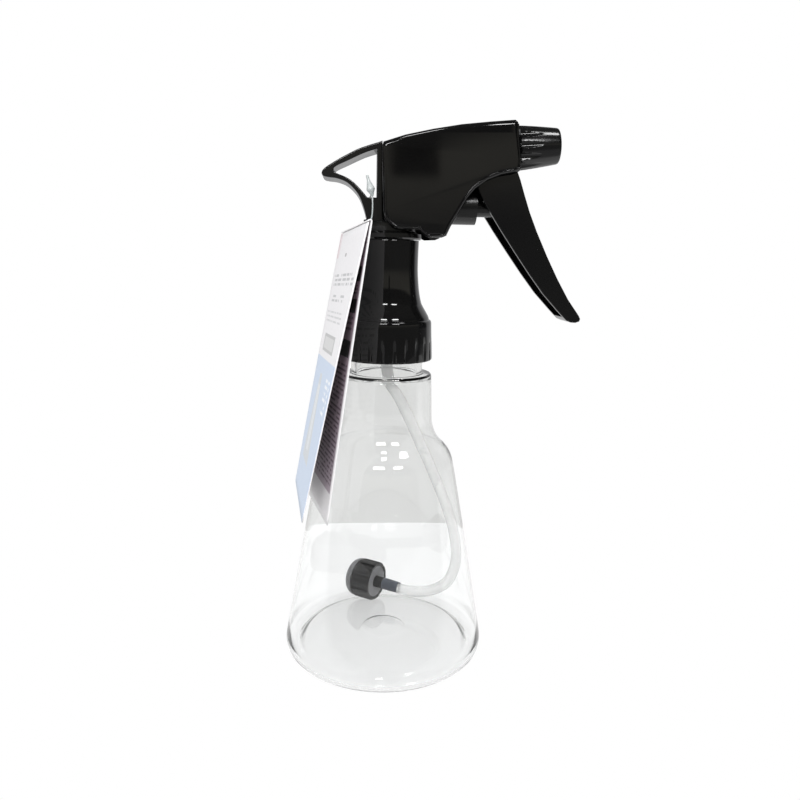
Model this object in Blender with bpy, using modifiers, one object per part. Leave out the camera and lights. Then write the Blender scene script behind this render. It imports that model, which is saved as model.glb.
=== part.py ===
"""Hand mister: a clear bottle, a trigger spray head with a long screw cap, and a weighted pick-up hose.

The bottle stands on z = 0 with its axis vertical, and the nozzle points along +X.
Every dimension below is in millimetres, and MM turns it into the scene's metres.
Positions are measured from the bottle's axis, which stands BOTTLE_X from the object's origin.
"""

import math

import bmesh
import bpy
from mathutils import Matrix, Vector

MM = 0.001
BOTTLE_X = -15.9  # puts the origin at the middle of the object's length
GAP = 0.3  # between pieces that touch
OBJECT_NAME = "hand_mister"

# ---- bottle: (radius, height) down the outside from the rim
BOTTLE_WALL = 0.8
FINISH_R = 13.3
FINISH_BORE_R = 11.3
THREAD_R = 14.2
THREAD_PITCH = 3.2
THREAD_TURNS = 1.25
THREAD_BOTTOM_Z = 114.6
RIM_Z = 126.6
SHOULDER_Z = 109.2
NECK_R = 16.8
BOTTLE_SIDE = [
    (17.0, 104.0),
    (17.2, 97.5),
    (17.4, 91.5),
    (18.0, 88.6),
    (19.0, 86.0),
    (20.6, 83.6),
    (22.6, 81.6),
    (24.3, 79.4),
    (25.4, 77.0),
    (26.1, 74.0),
    (27.0, 69.5),
    (28.6, 60.8),
    (30.8, 48.8),
    (34.5, 28.0),
    (38.4, 6.4),
]
BOTTLE_HEEL = [(38.7, 4.4), (38.5, 2.4), (37.6, 0.9), (36.2, 0.0), (34.6, 0.0), (33.6, 0.35)]
BOTTLE_UNDER = [(31.8, 1.5), (29.5, 2.7), (24.0, 3.9), (14.0, 4.4), (9.0, 4.5), (7.0, 5.0)]
BOTTLE_STEPS = 36
INSIDE_LEFT_OUT_Z = 60.8  # the wall is straight here, so the inside needs no point

# ---- screw cap, (radius, height)
CAP_TOP_Z = 157.3
CAP_SIDE = [
    (10.7, CAP_TOP_Z),
    (11.15, 156.8),
    (10.95, 150.0),
    (11.0, 146.0),
    (11.35, 141.5),
    (12.1, 138.0),
    (13.3, 134.4),
    (14.6, 131.4),
    (15.6, 129.0),
    (16.15, 127.5),
    (16.0, 126.9),
    (16.35, 126.4),
    (16.85, 115.2),
    (16.7, 114.4),
]
CAP_THREAD_BORE_R = 14.7
CAP_BORE_R = 9.4
CAP_SHOULDER_Z = 130.1
CAP_FLANGE_BORE_R = 14.0
CAP_GRIPS = 24
CAP_GRIP_TOP_Z = 121.0

# ---- head body
GASKET_Z = (126.9, 127.9)
GASKET_R = (13.2, 11.0)
FLANGE_R = 13.6
FLANGE_Z = (128.2, 129.8)
PLUG_R = 10.9
PLUG_BOTTOM_Z = 121.0
COLUMN_R = 9.1
STUB_R = 9.9
STUB_Z = (160.5, 163.6)
RISER_BOX = (-0.9, 10.0, 5.4, 186.5)  # x from, x to, half width, top
RING_R = (12.2, 9.4)
RING_Z = (157.6, 160.2)
INTAKE_BORE_R = 1.8
CHAMBER_R = 2.7
CHAMBER_TOP_Z = 132.4
SOCKET_R = 3.7

# ---- pump, along X
PUMP_Z = 169.6
CYLINDER_R = 6.2
CYLINDER_BORE_R = 4.9
CYLINDER_X = (8.0, 31.2)
BORE_END_X = 11.6
PISTON_HEAD_X = (24.4, 28.0)
PISTON_HEAD_R = 4.5
PISTON_STEM_R = 3.4
PISTON_NOSE_X = 46.7
SPRING_R = 3.5
SPRING_WIRE = 0.35
SPRING_TURNS = 6

# ---- discharge tube and nozzle, along a rising axis
NOZZLE_TILT = math.radians(4.3)
NOZZLE_ROOT = (46.8, 190.3)  # x, z where the nozzle cap starts
TUBE_R = 2.9
TUBE_BORE_R = 1.4
TUBE_BACK = -40.4  # along the axis from the root
SPIGOT_R = 4.6
SPIGOT = (-3.6, 4.4)
SPIGOT_BORE_R = 3.0
NOZZLE_LENGTH = 13.3
NOZZLE_REAR_R = 7.5
NOZZLE_FRONT_R = 6.2
NOZZLE_BORE_R = 5.1
NOZZLE_FLUTES = 12

# ---- trigger
PIVOT = (39.6, 184.3)
PIN_R = 1.3
PIN_HALF = 9.6
LUG_HALF = 5.6
TRIGGER_HALF = 8.1
TRIGGER_TIP_HALF = 6.7
TRIGGER_WALL = 1.4
TRIGGER_FRONT = [
    (42.0, 185.8),
    (42.3, 183.2),
    (44.4, 181.4),
    (44.9, 180.2),
    (45.6, 178.6),
    (47.4, 173.5),
    (49.6, 167.6),
    (52.5, 161.1),
    (56.8, 152.5),
    (61.0, 144.8),
    (65.5, 137.4),
    (69.9, 131.6),
    (70.5, 130.4),
    (70.2, 129.5),
    (68.8, 129.0),
    (67.0, 129.1),
    (65.3, 129.8),
]
TRIGGER_REAR = [
    (61.8, 133.3),
    (56.0, 139.4),
    (50.4, 146.5),
    (44.8, 154.1),
    (39.2, 161.9),
    (33.5, 170.3),
    (30.7, 175.2),
    (31.4, 178.2),
    (35.2, 184.4),
    (37.6, 187.2),
    (41.4, 187.4),
]

# ---- shroud outline, (x, z), clockwise from the rear corner
SHROUD_HALF = 12.5
SHROUD_WALL = 1.4
SHROUD_EDGE_R = 1.6
SHROUD_OUTLINE = [
    (-2.3, 166.8),
    (-2.9, 187.9),
    (-2.4, 189.5),
    (5.0, 191.9),
    (14.4, 194.0),
    (24.0, 195.7),
    (33.6, 196.8),
    (42.2, 197.6),
    (43.2, 196.8),
    (43.6, 193.2),
    (44.7, 185.4),
    (44.9, 181.7),
    (44.3, 180.9),
    (42.8, 180.4),
    (38.0, 179.5),
    (33.4, 177.6),
    (29.4, 174.8),
    (26.7, 171.4),
    (23.9, 166.6),
    (21.2, 162.0),
    (19.8, 158.9),
    (18.2, 158.2),
    (14.0, 158.0),
    (12.5, 158.6),
    (10.4, 160.4),
    (9.4, 160.8),
    (3.0, 160.8),
    (1.4, 161.3),
    (-0.4, 162.7),
    (-1.8, 164.6),
]
SHROUD_CAVITY = [
    (-1.5, 150.0),
    (-1.5, 187.4),
    (5.4, 190.3),
    (14.6, 192.4),
    (24.2, 194.1),
    (33.7, 195.2),
    (41.5, 195.9),
    (41.9, 193.0),
    (42.9, 185.2),
    (42.9, 150.0),
]

# ---- rear hanging loop, (x, z)
LOOP_HALF = 6.5
LOOP_OUTLINE = [
    (-3.3, 190.0),
    (-6.0, 188.9),
    (-13.7, 184.9),
    (-22.9, 180.4),
    (-23.5, 179.5),
    (-23.2, 178.6),
    (-21.8, 178.0),
    (-17.0, 177.1),
    (-12.8, 174.9),
    (-10.3, 172.0),
    (-8.8, 169.3),
    (-7.8, 164.4),
    (-1.2, 163.9),
    (-1.2, 165.8),
    (-3.3, 165.9),
]
LOOP_HOLE = [
    (-4.5, 187.0),
    (-13.7, 183.3),
    (-19.2, 181.0),
    (-19.4, 180.2),
    (-18.2, 179.3),
    (-12.7, 177.0),
    (-10.3, 174.7),
    (-8.2, 171.9),
    (-4.5, 171.9),
]

# ---- pick-up hose: (x, y, z) down from the neck and round to the sinker
HOSE_R = 2.2
HOSE_ROUTE = [
    (0.0, 0.0, 112.6),
    (0.4, 0.0, 109.0),
    (2.0, 0.0, 104.6),
    (5.4, 0.0, 98.6),
    (9.9, 0.0, 89.4),
    (14.9, 0.2, 78.2),
    (20.0, 0.6, 66.7),
    (24.3, 1.2, 56.2),
    (27.6, 2.0, 46.0),
    (29.3, 3.1, 36.6),
    (29.2, 4.6, 28.6),
    (26.6, 7.0, 20.8),
    (22.2, 9.9, 16.2),
    (17.2, 12.3, 13.8),
    (12.0, 14.6, 12.8),
    (6.78, 17.06, 12.8),
]
HOSE_STEP = 3  # points between two of the route's
SINKER_FACE = (-2.3, 22.9, 12.8)
SINKER_DIRECTION = (0.8412, -0.5408, 0.0)
SINKER_R = 7.6
SINKER_LENGTH = 10.4
SINKER_BORE_R = 6.0
SINKER_GRIPS = 10
SINKER_RECESS = 1.4
WEIGHT_R = (5.7, 2.6)
WEIGHT_LENGTH = 6.6
STEM_R = 1.9
BARB_LENGTH = 6.0
STEM_REACH = 10.5

# ---- hang tag: a card folded over the string, its crease behind the hanging loop
TAG_YAW = math.radians(11.5)  # of the crease
TAG_FRONT_YAW = math.radians(8.0)  # of the front leaf's lower edge
TAG_BACK_YAW = math.radians(14.0)
TAG_ROLL = math.radians(1.8)  # the far end of the crease is the lower one
TAG_MIDDLE = -4.0  # middle of the tag's width, along the crease
TAG_HALF_WIDTH = 25.2
TAG_TOP_Z = 161.1
TAG_TOP_D = 12.9  # distance of the crease from the bottle's axis
TAG_BACK = (99.0, 28.8)  # drop and distance of the back leaf's lower edge
TAG_FRONT = (97.4, 33.75)
TAG_ROWS = 6
TAG_COLUMNS = 8
TAG_PAPER = 0.35
TAG_FOLD = 1.06  # the leaves' distance at the crease
TAG_HOLES_APART = 3.0
TAG_HOLE_DROP = 0.35
TAG_HOLE_R = 0.5
STRING_R = 0.25
TAG_PIN_HEAD = (-6.9, -7.7, 171.8)
TAG_PIN_PROFILE = [
    (0.0, 7.2),
    (0.45, 7.0),
    (0.5, 5.6),
    (0.75, 4.4),
    (1.45, 2.2),
    (1.4, 1.6),
    (0.8, 0.2),
    (0.5, -0.2),
    (0.0, -0.2),
]
STRING_DOWN = [(-6.7, -7.8, 168.5), (-6.6, -7.8, 165.0), (-7.4, -7.6, 162.4)]
STRING_UP = [
    (-8.0, 7.6, 163.0),
    (-7.0, 7.8, 165.6),
    (-6.8, 7.7, 169.0),
    (-6.9, 7.2, 171.8),
    (-6.9, 5.4, 172.8),
    (-6.9, 0.0, 172.9),
    (-6.9, -5.2, 172.9),
    (-6.9, -7.5, 173.2),
]

BLACK = (0.012, 0.012, 0.013)


def clear_scene():
    for obj in list(bpy.data.objects):
        bpy.data.objects.remove(obj, do_unlink=True)


def collection(name):
    made = bpy.data.collections.new(name)
    bpy.context.scene.collection.children.link(made)
    return made


def material(name, colour, roughness, metallic=0.0, alpha=1.0):
    made = bpy.data.materials.new(name)
    made.use_nodes = True
    shader = made.node_tree.nodes["Principled BSDF"]
    shader.inputs["Base Color"].default_value = (*colour, 1.0)
    shader.inputs["Roughness"].default_value = roughness
    shader.inputs["Metallic"].default_value = metallic
    shader.inputs["Alpha"].default_value = alpha
    return made


def scaled(points):
    return [tuple(value * MM for value in point) for point in points]


def smooth_through(points, steps):
    """Points of a smooth curve through the given ones, with steps between each two."""
    knots = [Vector(point) for point in points]
    knots = [2 * knots[0] - knots[1]] + knots + [2 * knots[-1] - knots[-2]]
    path = []
    for i in range(1, len(knots) - 2):
        a, b, c, d = knots[i - 1 : i + 3]
        for k in range(steps):
            t = k / steps
            path.append(
                0.5
                * (
                    2 * b
                    + (c - a) * t
                    + (2 * a - 5 * b + 4 * c - d) * t**2
                    + (3 * b - a - 3 * c + d) * t**3
                )
            )
    path.append(knots[-2])
    return path


class Builder:
    """Makes named objects in one collection, under the empty on the bottle's axis."""

    def __init__(self):
        self.parts = collection(OBJECT_NAME)
        self.cutters = collection(OBJECT_NAME + "_cutters")
        self.frame = bpy.data.objects.new("bottle_axis", None)
        self.frame.location = (BOTTLE_X * MM, 0.0, 0.0)
        self.parts.objects.link(self.frame)

    def add(self, name, data, look=None, location=(0, 0, 0), direction=None):
        obj = bpy.data.objects.new(name, data)
        obj.parent = self.frame
        obj.location = Vector(location) * MM
        if direction is not None:
            turn = Vector((0, 0, 1)).rotation_difference(Vector(direction))
            obj.rotation_mode = "QUATERNION"
            obj.rotation_quaternion = turn
        if look is None:
            obj.hide_render = True
            obj.display_type = "WIRE"
            self.cutters.objects.link(obj)
        else:
            obj.data.materials.append(look)
            self.parts.objects.link(obj)
        return obj

    def turned(self, name, profile, look=None, steps=32, closed=True, **place):
        """A profile of (radius, height) turned about its own Z. An open one starts and ends on it."""
        mesh = bpy.data.meshes.new(name)
        points = [(r * MM, 0.0, z * MM) for r, z in profile]
        edges = [(i, i + 1) for i in range(len(points) - 1)]
        if closed:
            edges.append((len(points) - 1, 0))
        mesh.from_pydata(points, edges, [])
        obj = self.add(name, mesh, look, **place)
        screw = obj.modifiers.new("Screw", "SCREW")
        screw.axis = "Z"
        screw.steps = steps
        screw.render_steps = steps
        screw.use_merge_vertices = True
        screw.merge_threshold = 1e-5
        screw.use_smooth_shade = True
        return obj

    def plate(self, name, outlines, half, look=None, edge=0.0, centre=(0, 0), **place):
        """An outline of (x, z), with holes, made plate of this half width along Y."""
        curve = bpy.data.curves.new(name, "CURVE")
        curve.dimensions = "2D"
        curve.fill_mode = "BOTH"
        curve.extrude = (half - edge) * MM
        curve.bevel_depth = edge * MM
        curve.bevel_resolution = 2
        curve.offset = -edge * MM
        for outline in outlines:
            spline = curve.splines.new("POLY")
            spline.points.add(len(outline) - 1)
            for point, (x, z) in zip(spline.points, outline):
                point.co = ((x - centre[0]) * MM, (z - centre[1]) * MM, 0.0, 1.0)
            spline.use_cyclic_u = True
        made = bpy.data.objects.new(name, curve)
        bpy.context.scene.collection.objects.link(made)
        made.rotation_euler = (math.pi / 2, 0.0, 0.0)
        mesh = self.as_mesh(made)
        mesh.transform(Matrix.Rotation(math.pi / 2, 4, "X"))
        return self.add(name, mesh, look, (centre[0], 0, centre[1]), **place)

    def tube(self, name, route, radius, look=None, sides=2, closed=False, to_mesh=False):
        curve = bpy.data.curves.new(name, "CURVE")
        curve.dimensions = "3D"
        curve.fill_mode = "FULL"
        curve.bevel_depth = radius * MM
        curve.bevel_resolution = sides
        curve.use_fill_caps = not closed
        spline = curve.splines.new("POLY")
        spline.points.add(len(route) - 1)
        for point, (x, y, z) in zip(spline.points, route):
            point.co = (x * MM, y * MM, z * MM, 1.0)
        spline.use_cyclic_u = closed
        if not to_mesh:
            return self.add(name, curve, look)
        made = bpy.data.objects.new(name, curve)
        bpy.context.scene.collection.objects.link(made)
        return self.add(name, self.as_mesh(made), look)

    def as_mesh(self, made):
        """The curve object's surface as a closed mesh. The object is removed."""
        bpy.context.view_layer.update()
        graph = bpy.context.evaluated_depsgraph_get()
        mesh = bpy.data.meshes.new_from_object(made.evaluated_get(graph))
        shape = bmesh.new()
        shape.from_mesh(mesh)
        bmesh.ops.remove_doubles(shape, verts=shape.verts, dist=1e-6)
        bmesh.ops.recalc_face_normals(shape, faces=shape.faces)
        shape.to_mesh(mesh)
        shape.free()
        bpy.data.objects.remove(made, do_unlink=True)
        return mesh

    def block(self, name, low, high, look=None, **place):
        shape = bmesh.new()
        bmesh.ops.create_cube(shape, size=1.0)
        size = [(b - a) * MM for a, b in zip(low, high)]
        middle = [(b + a) / 2 * MM for a, b in zip(low, high)]
        bmesh.ops.scale(shape, vec=size, verts=shape.verts)
        bmesh.ops.translate(shape, vec=middle, verts=shape.verts)
        mesh = bpy.data.meshes.new(name)
        shape.to_mesh(mesh)
        shape.free()
        return self.add(name, mesh, look, **place)

    def rod(self, name, radius, start, end, look=None, steps=24):
        """A plain cylinder between two points."""
        start, end = Vector(start), Vector(end)
        length = (end - start).length
        profile = [(0.0, length), (radius, length), (radius, 0.0), (0.0, 0.0)]
        along = (end - start).normalized()
        return self.turned(
            name, profile, look, steps, False, location=start, direction=along
        )

    def cut(self, obj, tool, operation="DIFFERENCE"):
        boolean = obj.modifiers.new(operation.title(), "BOOLEAN")
        boolean.operation = operation
        boolean.solver = "EXACT"
        boolean.object = tool
        return obj

    def join(self, obj, tool):
        return self.cut(obj, tool, "UNION")

    def merged(self, name, tools):
        """One cutter made of several that don't meet."""
        shape = bmesh.new()
        bpy.context.view_layer.update()
        graph = bpy.context.evaluated_depsgraph_get()
        for tool in tools:
            mesh = bpy.data.meshes.new_from_object(tool.evaluated_get(graph))
            mesh.transform(self.frame.matrix_world.inverted() @ tool.matrix_world)
            shape.from_mesh(mesh)
            bpy.data.meshes.remove(mesh)
        mesh = bpy.data.meshes.new(name)
        shape.to_mesh(mesh)
        shape.free()
        for tool in tools:
            bpy.data.objects.remove(tool, do_unlink=True)
        return self.add(name, mesh)


def nozzle_point(along):
    """A point on the nozzle's axis, this far in front of the cap's rear edge."""
    x = NOZZLE_ROOT[0] + along * math.cos(NOZZLE_TILT)
    z = NOZZLE_ROOT[1] + along * math.sin(NOZZLE_TILT)
    return Vector((x, 0.0, z))


def nozzle_direction():
    return Vector((math.cos(NOZZLE_TILT), 0.0, math.sin(NOZZLE_TILT)))


def make_bottle(build, look):
    outside = [(FINISH_BORE_R, RIM_Z), (FINISH_R - 0.3, RIM_Z), (FINISH_R, RIM_Z - 0.4)]
    outside += [(FINISH_R, SHOULDER_Z + 0.4), (FINISH_R + 0.4, SHOULDER_Z)]
    outside += [(NECK_R - 0.5, SHOULDER_Z), (NECK_R, SHOULDER_Z - 0.5)]
    outside += BOTTLE_SIDE + BOTTLE_HEEL + BOTTLE_UNDER + [(0.0, 5.2)]
    wall = BOTTLE_WALL
    inside = [(0.0, 5.2 + wall), (7.2, 5.0 + wall), (9.2, 4.5 + wall), (14.0, 4.4 + wall)]
    inside += [(24.2, 3.9 + wall), (30.0, 2.7 + wall), (34.2, 1.2 + wall)]
    inside += [(36.4, 1.6 + wall), (37.5, 3.2 + wall), (38.4 - wall, 6.4)]
    for r, z in reversed(BOTTLE_SIDE[2:-1]):
        if z != INSIDE_LEFT_OUT_Z:
            inside.append((r - wall, z))
    inside += [(NECK_R - wall, SHOULDER_Z - 2.2), (NECK_R - wall - 0.6, SHOULDER_Z - 1.2)]
    inside += [(FINISH_BORE_R + 0.6, SHOULDER_Z - 0.6), (FINISH_BORE_R, SHOULDER_Z + 0.4)]
    bottle = build.turned("bottle", outside + inside, look, BOTTLE_STEPS)
    thread = []
    turn_points = 12
    for i in range(int(THREAD_TURNS * turn_points) + 1):
        angle = 2 * math.pi * i / turn_points
        z = THREAD_BOTTOM_Z + THREAD_PITCH * i / turn_points
        thread.append((FINISH_R * math.cos(angle), FINISH_R * math.sin(angle), z))
    ridge = build.tube("bottle_thread", thread, THREAD_R - FINISH_R, None, 1, False, True)
    return build.join(bottle, ridge)


def make_screw_cap(build, look):
    profile = [(CAP_BORE_R, CAP_TOP_Z)] + CAP_SIDE
    profile += [(CAP_THREAD_BORE_R, 114.4), (CAP_THREAD_BORE_R, 127.4)]
    profile += [(CAP_FLANGE_BORE_R, 128.0), (CAP_FLANGE_BORE_R, CAP_SHOULDER_Z)]
    profile += [(CAP_BORE_R, CAP_SHOULDER_Z)]
    cap = build.turned("screw_cap", profile, look, 36)
    grips = []
    for i in range(CAP_GRIPS):
        angle = 2 * math.pi * (i + 0.5) / CAP_GRIPS
        low, high = (16.35, -0.55, 113.0), (18.0, 0.55, CAP_GRIP_TOP_Z)
        tool = build.block("grip_%02d" % i, low, high)
        tool.rotation_euler = (0.0, 0.0, angle)
        grips.append(tool)
    return build.cut(cap, build.merged("cap_grip_cutter", grips))


def make_neck_parts(build, black, rubber):
    top, bottom = GASKET_Z[1], GASKET_Z[0]
    outer, inner = GASKET_R
    profile = [(inner, top), (outer, top), (outer, bottom), (inner, bottom)]
    build.turned("neck_gasket", profile, rubber, 32)
    top, bottom = RING_Z[1], RING_Z[0]
    outer, inner = RING_R
    profile = [(inner, top), (outer - 0.9, top), (outer, top - 0.7)]
    profile += [(outer, bottom + 0.5), (outer - 0.6, bottom), (inner, bottom)]
    build.turned("cap_retainer", profile, black, 36)


def make_valve_body(build, look):
    outer = [(0.0, STUB_Z[1]), (STUB_R - 0.5, STUB_Z[1]), (STUB_R, STUB_Z[1] - 0.5)]
    outer += [(STUB_R, STUB_Z[0]), (COLUMN_R, STUB_Z[0]), (COLUMN_R, FLANGE_Z[1])]
    outer += [(FLANGE_R, FLANGE_Z[1]), (FLANGE_R, FLANGE_Z[0]), (PLUG_R - 0.3, FLANGE_Z[0])]
    outer += [(PLUG_R - 0.3, PLUG_BOTTOM_Z + 0.8), (PLUG_R - 1.0, PLUG_BOTTOM_Z), (0.0, PLUG_BOTTOM_Z)]
    body = build.turned("valve_body", outer, look, 32, False)
    x0, x1, half, top = RISER_BOX
    riser = build.block("riser", (x0, -half, STUB_Z[1] - 2.0), (x1, half, top))
    build.join(body, riser)
    back, front = CYLINDER_X
    barrel = build.rod("pump_barrel", CYLINDER_R, (back, 0, PUMP_Z), (front, 0, PUMP_Z), None, 28)
    build.join(body, barrel)
    tube = build.rod("discharge_tube", TUBE_R, nozzle_point(TUBE_BACK), nozzle_point(0))
    build.join(body, tube)
    spigot = build.rod("spigot", SPIGOT_R, nozzle_point(SPIGOT[0]), nozzle_point(SPIGOT[1]), None, 32)
    build.join(body, spigot)
    low = (PIVOT[0] - 2.6, -LUG_HALF, PIVOT[1] - 2.7)
    lug = build.block("pivot_lug", low, (PIVOT[0] + 2.4, LUG_HALF, PIVOT[1] + 4.2))
    build.join(body, lug)
    web_low = (x1 - 1.0, -1.2, PUMP_Z + CYLINDER_R - 1.0)
    web = build.block("tube_web", web_low, (34.0, 1.2, 188.6))
    build.join(body, web)
    cuts = [
        build.rod("pump_bore", CYLINDER_BORE_R, (BORE_END_X, 0, PUMP_Z), (front + 5, 0, PUMP_Z), None, 26),
        build.rod("pivot_bore", PIN_R + 0.2, (PIVOT[0], -20, PIVOT[1]), (PIVOT[0], 20, PIVOT[1])),
        build.rod("spigot_bore", SPIGOT_BORE_R, nozzle_point(-1.6), nozzle_point(12)),
        build.rod("adapter_socket", SOCKET_R, (0, 0, 110), (0, 0, 127.6)),
        build.rod("ball_chamber", CHAMBER_R, (0, 0, 127.0), (0, 0, CHAMBER_TOP_Z)),
        build.rod("intake_bore", INTAKE_BORE_R, (0, 0, 131.0), (0, 0, 158.0), None, 16),
        build.rod("riser_bore", INTAKE_BORE_R, (0, 0, 157.0), (5.4, 0, 171.0), None, 16),
        build.rod("upper_bore", INTAKE_BORE_R - 0.2, (5.4, 0, 169.5), (8.4, 0, 187.2), None, 16),
        build.rod("pump_port", 1.2, (5.0, 0, PUMP_Z), (BORE_END_X + 2, 0, PUMP_Z), None, 12),
        build.rod("discharge_bore", TUBE_BORE_R, nozzle_point(TUBE_BACK + 1.5), nozzle_point(0), None, 16),
    ]
    for tool in cuts:
        build.cut(body, tool)
    return body


def make_intake(build, black, steel):
    profile = [(1.4, 127.2), (SOCKET_R - 0.4, 127.2), (SOCKET_R - 0.4, 120.7), (8.2, 120.7)]
    profile += [(8.2, 119.2), (7.6, 118.6), (3.4, 118.6), (3.0, 116.0), (2.6, 112.9), (1.4, 112.9)]
    build.turned("hose_adapter", profile, black, 24)
    shape = bmesh.new()
    bmesh.ops.create_uvsphere(shape, u_segments=16, v_segments=10, radius=2.0 * MM)
    mesh = bpy.data.meshes.new("inlet_ball")
    shape.to_mesh(mesh)
    shape.free()
    mesh.shade_smooth()
    build.add("inlet_ball", mesh, steel, (0, 0, 129.0))
    profile = [(0.0, 1.3), (1.4, 1.3), (2.5, 0.5), (2.5, 0.0), (0.0, 0.0)]
    place = {"location": nozzle_point(-1.2), "direction": nozzle_direction()}
    build.turned("outlet_valve", profile, black, 20, False, **place)


def make_pump(build, black, rubber, steel):
    back, front = PISTON_HEAD_X
    length = PISTON_NOSE_X - back
    head = front - back
    profile = [(0.0, length), (1.6, length - 0.15), (2.8, length - 0.7), (PISTON_STEM_R, length - 1.9)]
    profile += [(PISTON_STEM_R, head), (PISTON_HEAD_R, head), (PISTON_HEAD_R, head - 0.8)]
    profile += [(3.7, head - 0.8), (3.7, 0.8), (PISTON_HEAD_R, 0.8), (PISTON_HEAD_R, 0.0), (0.0, 0.0)]
    place = {"location": (back, 0, PUMP_Z), "direction": (1, 0, 0)}
    build.turned("piston", profile, black, 24, False, **place)
    profile = [(4.0, head - 1.1), (4.65, head - 1.1), (4.65, 1.1), (4.0, 1.1)]
    build.turned("piston_seal", profile, rubber, 24, **place)
    points = []
    turn_points = 9
    start, end = BORE_END_X + 0.7, back - 0.7
    count = int(SPRING_TURNS * turn_points)
    for i in range(count + 1):
        angle = 2 * math.pi * i / turn_points
        x = start + (end - start) * i / count
        points.append((x, SPRING_R * math.cos(angle), PUMP_Z + SPRING_R * math.sin(angle)))
    build.tube("return_spring", points, SPRING_WIRE, steel, 1)


def make_trigger(build, black, steel):
    outline = TRIGGER_FRONT + TRIGGER_REAR
    trigger = build.plate("trigger", [outline], TRIGGER_HALF, black, 0.35, PIVOT)
    hollow = []
    for a, b in zip(TRIGGER_FRONT[4:12], TRIGGER_FRONT[5:13]):
        along = (Vector(b) - Vector(a)).normalized()
        hollow.append((a[0] + along.y * 1.6, a[1] - along.x * 1.6))
    hollow = [(43.0, 182.6), (43.2, 180.9)] + hollow[:-1]
    hollow += [(66.0, 132.9), (62.0, 129.0), (20.0, 129.0), (20.0, 200.0), (60.0, 200.0), (60.0, 182.9)]
    cutter = build.plate("trigger_hollow", [hollow], TRIGGER_HALF - TRIGGER_WALL)
    build.cut(trigger, cutter)
    hole = build.rod("trigger_bore", PIN_R + 0.2, (PIVOT[0], -20, PIVOT[1]), (PIVOT[0], 20, PIVOT[1]))
    build.cut(trigger, hole)
    low, high = 130.0 - PIVOT[1], 182.0 - PIVOT[1]
    for mesh, half in ((trigger.data, TRIGGER_HALF), (cutter.data, TRIGGER_HALF - TRIGGER_WALL)):
        shift = 0.0 if mesh is trigger.data else PIVOT[1]
        for vertex in mesh.vertices:
            t = (vertex.co.z / MM - shift - low) / (high - low)
            t = min(max(t, 0.0), 1.0)
            narrow = TRIGGER_HALF - TRIGGER_TIP_HALF
            vertex.co.y *= (half - narrow * (1.0 - t)) / half
    start = (PIVOT[0], -PIN_HALF, PIVOT[1])
    build.rod("trigger_pin", PIN_R, start, (PIVOT[0], PIN_HALF, PIVOT[1]), steel, 20)
    return trigger


def make_shroud(build, look):
    shroud = build.plate("shroud", [SHROUD_OUTLINE], SHROUD_HALF, look, SHROUD_EDGE_R)
    build.cut(shroud, build.plate("shroud_cavity", [SHROUD_CAVITY], SHROUD_HALF - SHROUD_WALL))
    start, end = nozzle_point(-8), nozzle_point(4)
    build.cut(shroud, build.rod("spigot_hole", SPIGOT_R + 0.4, start, end, None, 32))
    build.cut(shroud, build.block("trigger_slot", (40.0, -9.0, 150.0), (50.0, 9.0, 183.6)))
    build.cut(shroud, build.block("rear_notch", (-6.0, -7.2, 150.0), (2.0, 7.2, 166.6)))
    return shroud


def make_hang_loop(build, look):
    return build.plate("hang_loop", [LOOP_OUTLINE, LOOP_HOLE], LOOP_HALF, look, 0.4)


def make_nozzle(build, black, rubber):
    direction = nozzle_direction()
    front = NOZZLE_LENGTH
    profile = [(0.5, front - 2.2), (3.4, front - 2.2), (3.9, front), (NOZZLE_FRONT_R - 0.9, front)]
    profile += [(NOZZLE_FRONT_R - 0.25, front - 0.3), (NOZZLE_FRONT_R, front - 1.1)]
    profile += [(NOZZLE_REAR_R, 0.3), (NOZZLE_REAR_R - 0.3, 0.0), (NOZZLE_BORE_R, 0.0)]
    profile += [(NOZZLE_BORE_R, 5.6), (0.5, 5.6)]
    cap = build.turned(
        "nozzle_cap", profile, black, 36, location=nozzle_point(0), direction=direction
    )
    flutes = []
    turn = Vector((0, 0, 1)).rotation_difference(direction)
    for i in range(NOZZLE_FLUTES):
        angle = 2 * math.pi * i / NOZZLE_FLUTES
        around = Vector((math.cos(angle), math.sin(angle), 0))
        start = nozzle_point(0) + turn @ (around * 8.2 + Vector((0, 0, -1.0)))
        end = nozzle_point(0) + turn @ (around * 8.35 + Vector((0, 0, 8.4)))
        flutes.append(build.rod("flute_%02d" % i, 1.45, start, end, None, 12))
    build.cut(cap, build.merged("flute_cutter", flutes))
    place = {"location": nozzle_point(1.4), "direction": direction}
    profile = [(0.6, 2.7), (2.3, 2.7), (2.7, 2.3), (2.7, 0.0), (0.6, 0.0)]
    build.turned("nozzle_insert", profile, black, 24, **place)
    place["location"] = nozzle_point(SPIGOT[1] + GAP)
    profile = [(2.0, 0.7), (4.5, 0.7), (4.5, 0.0), (2.0, 0.0)]
    build.turned("nozzle_seal", profile, rubber, 24, **place)


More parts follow.
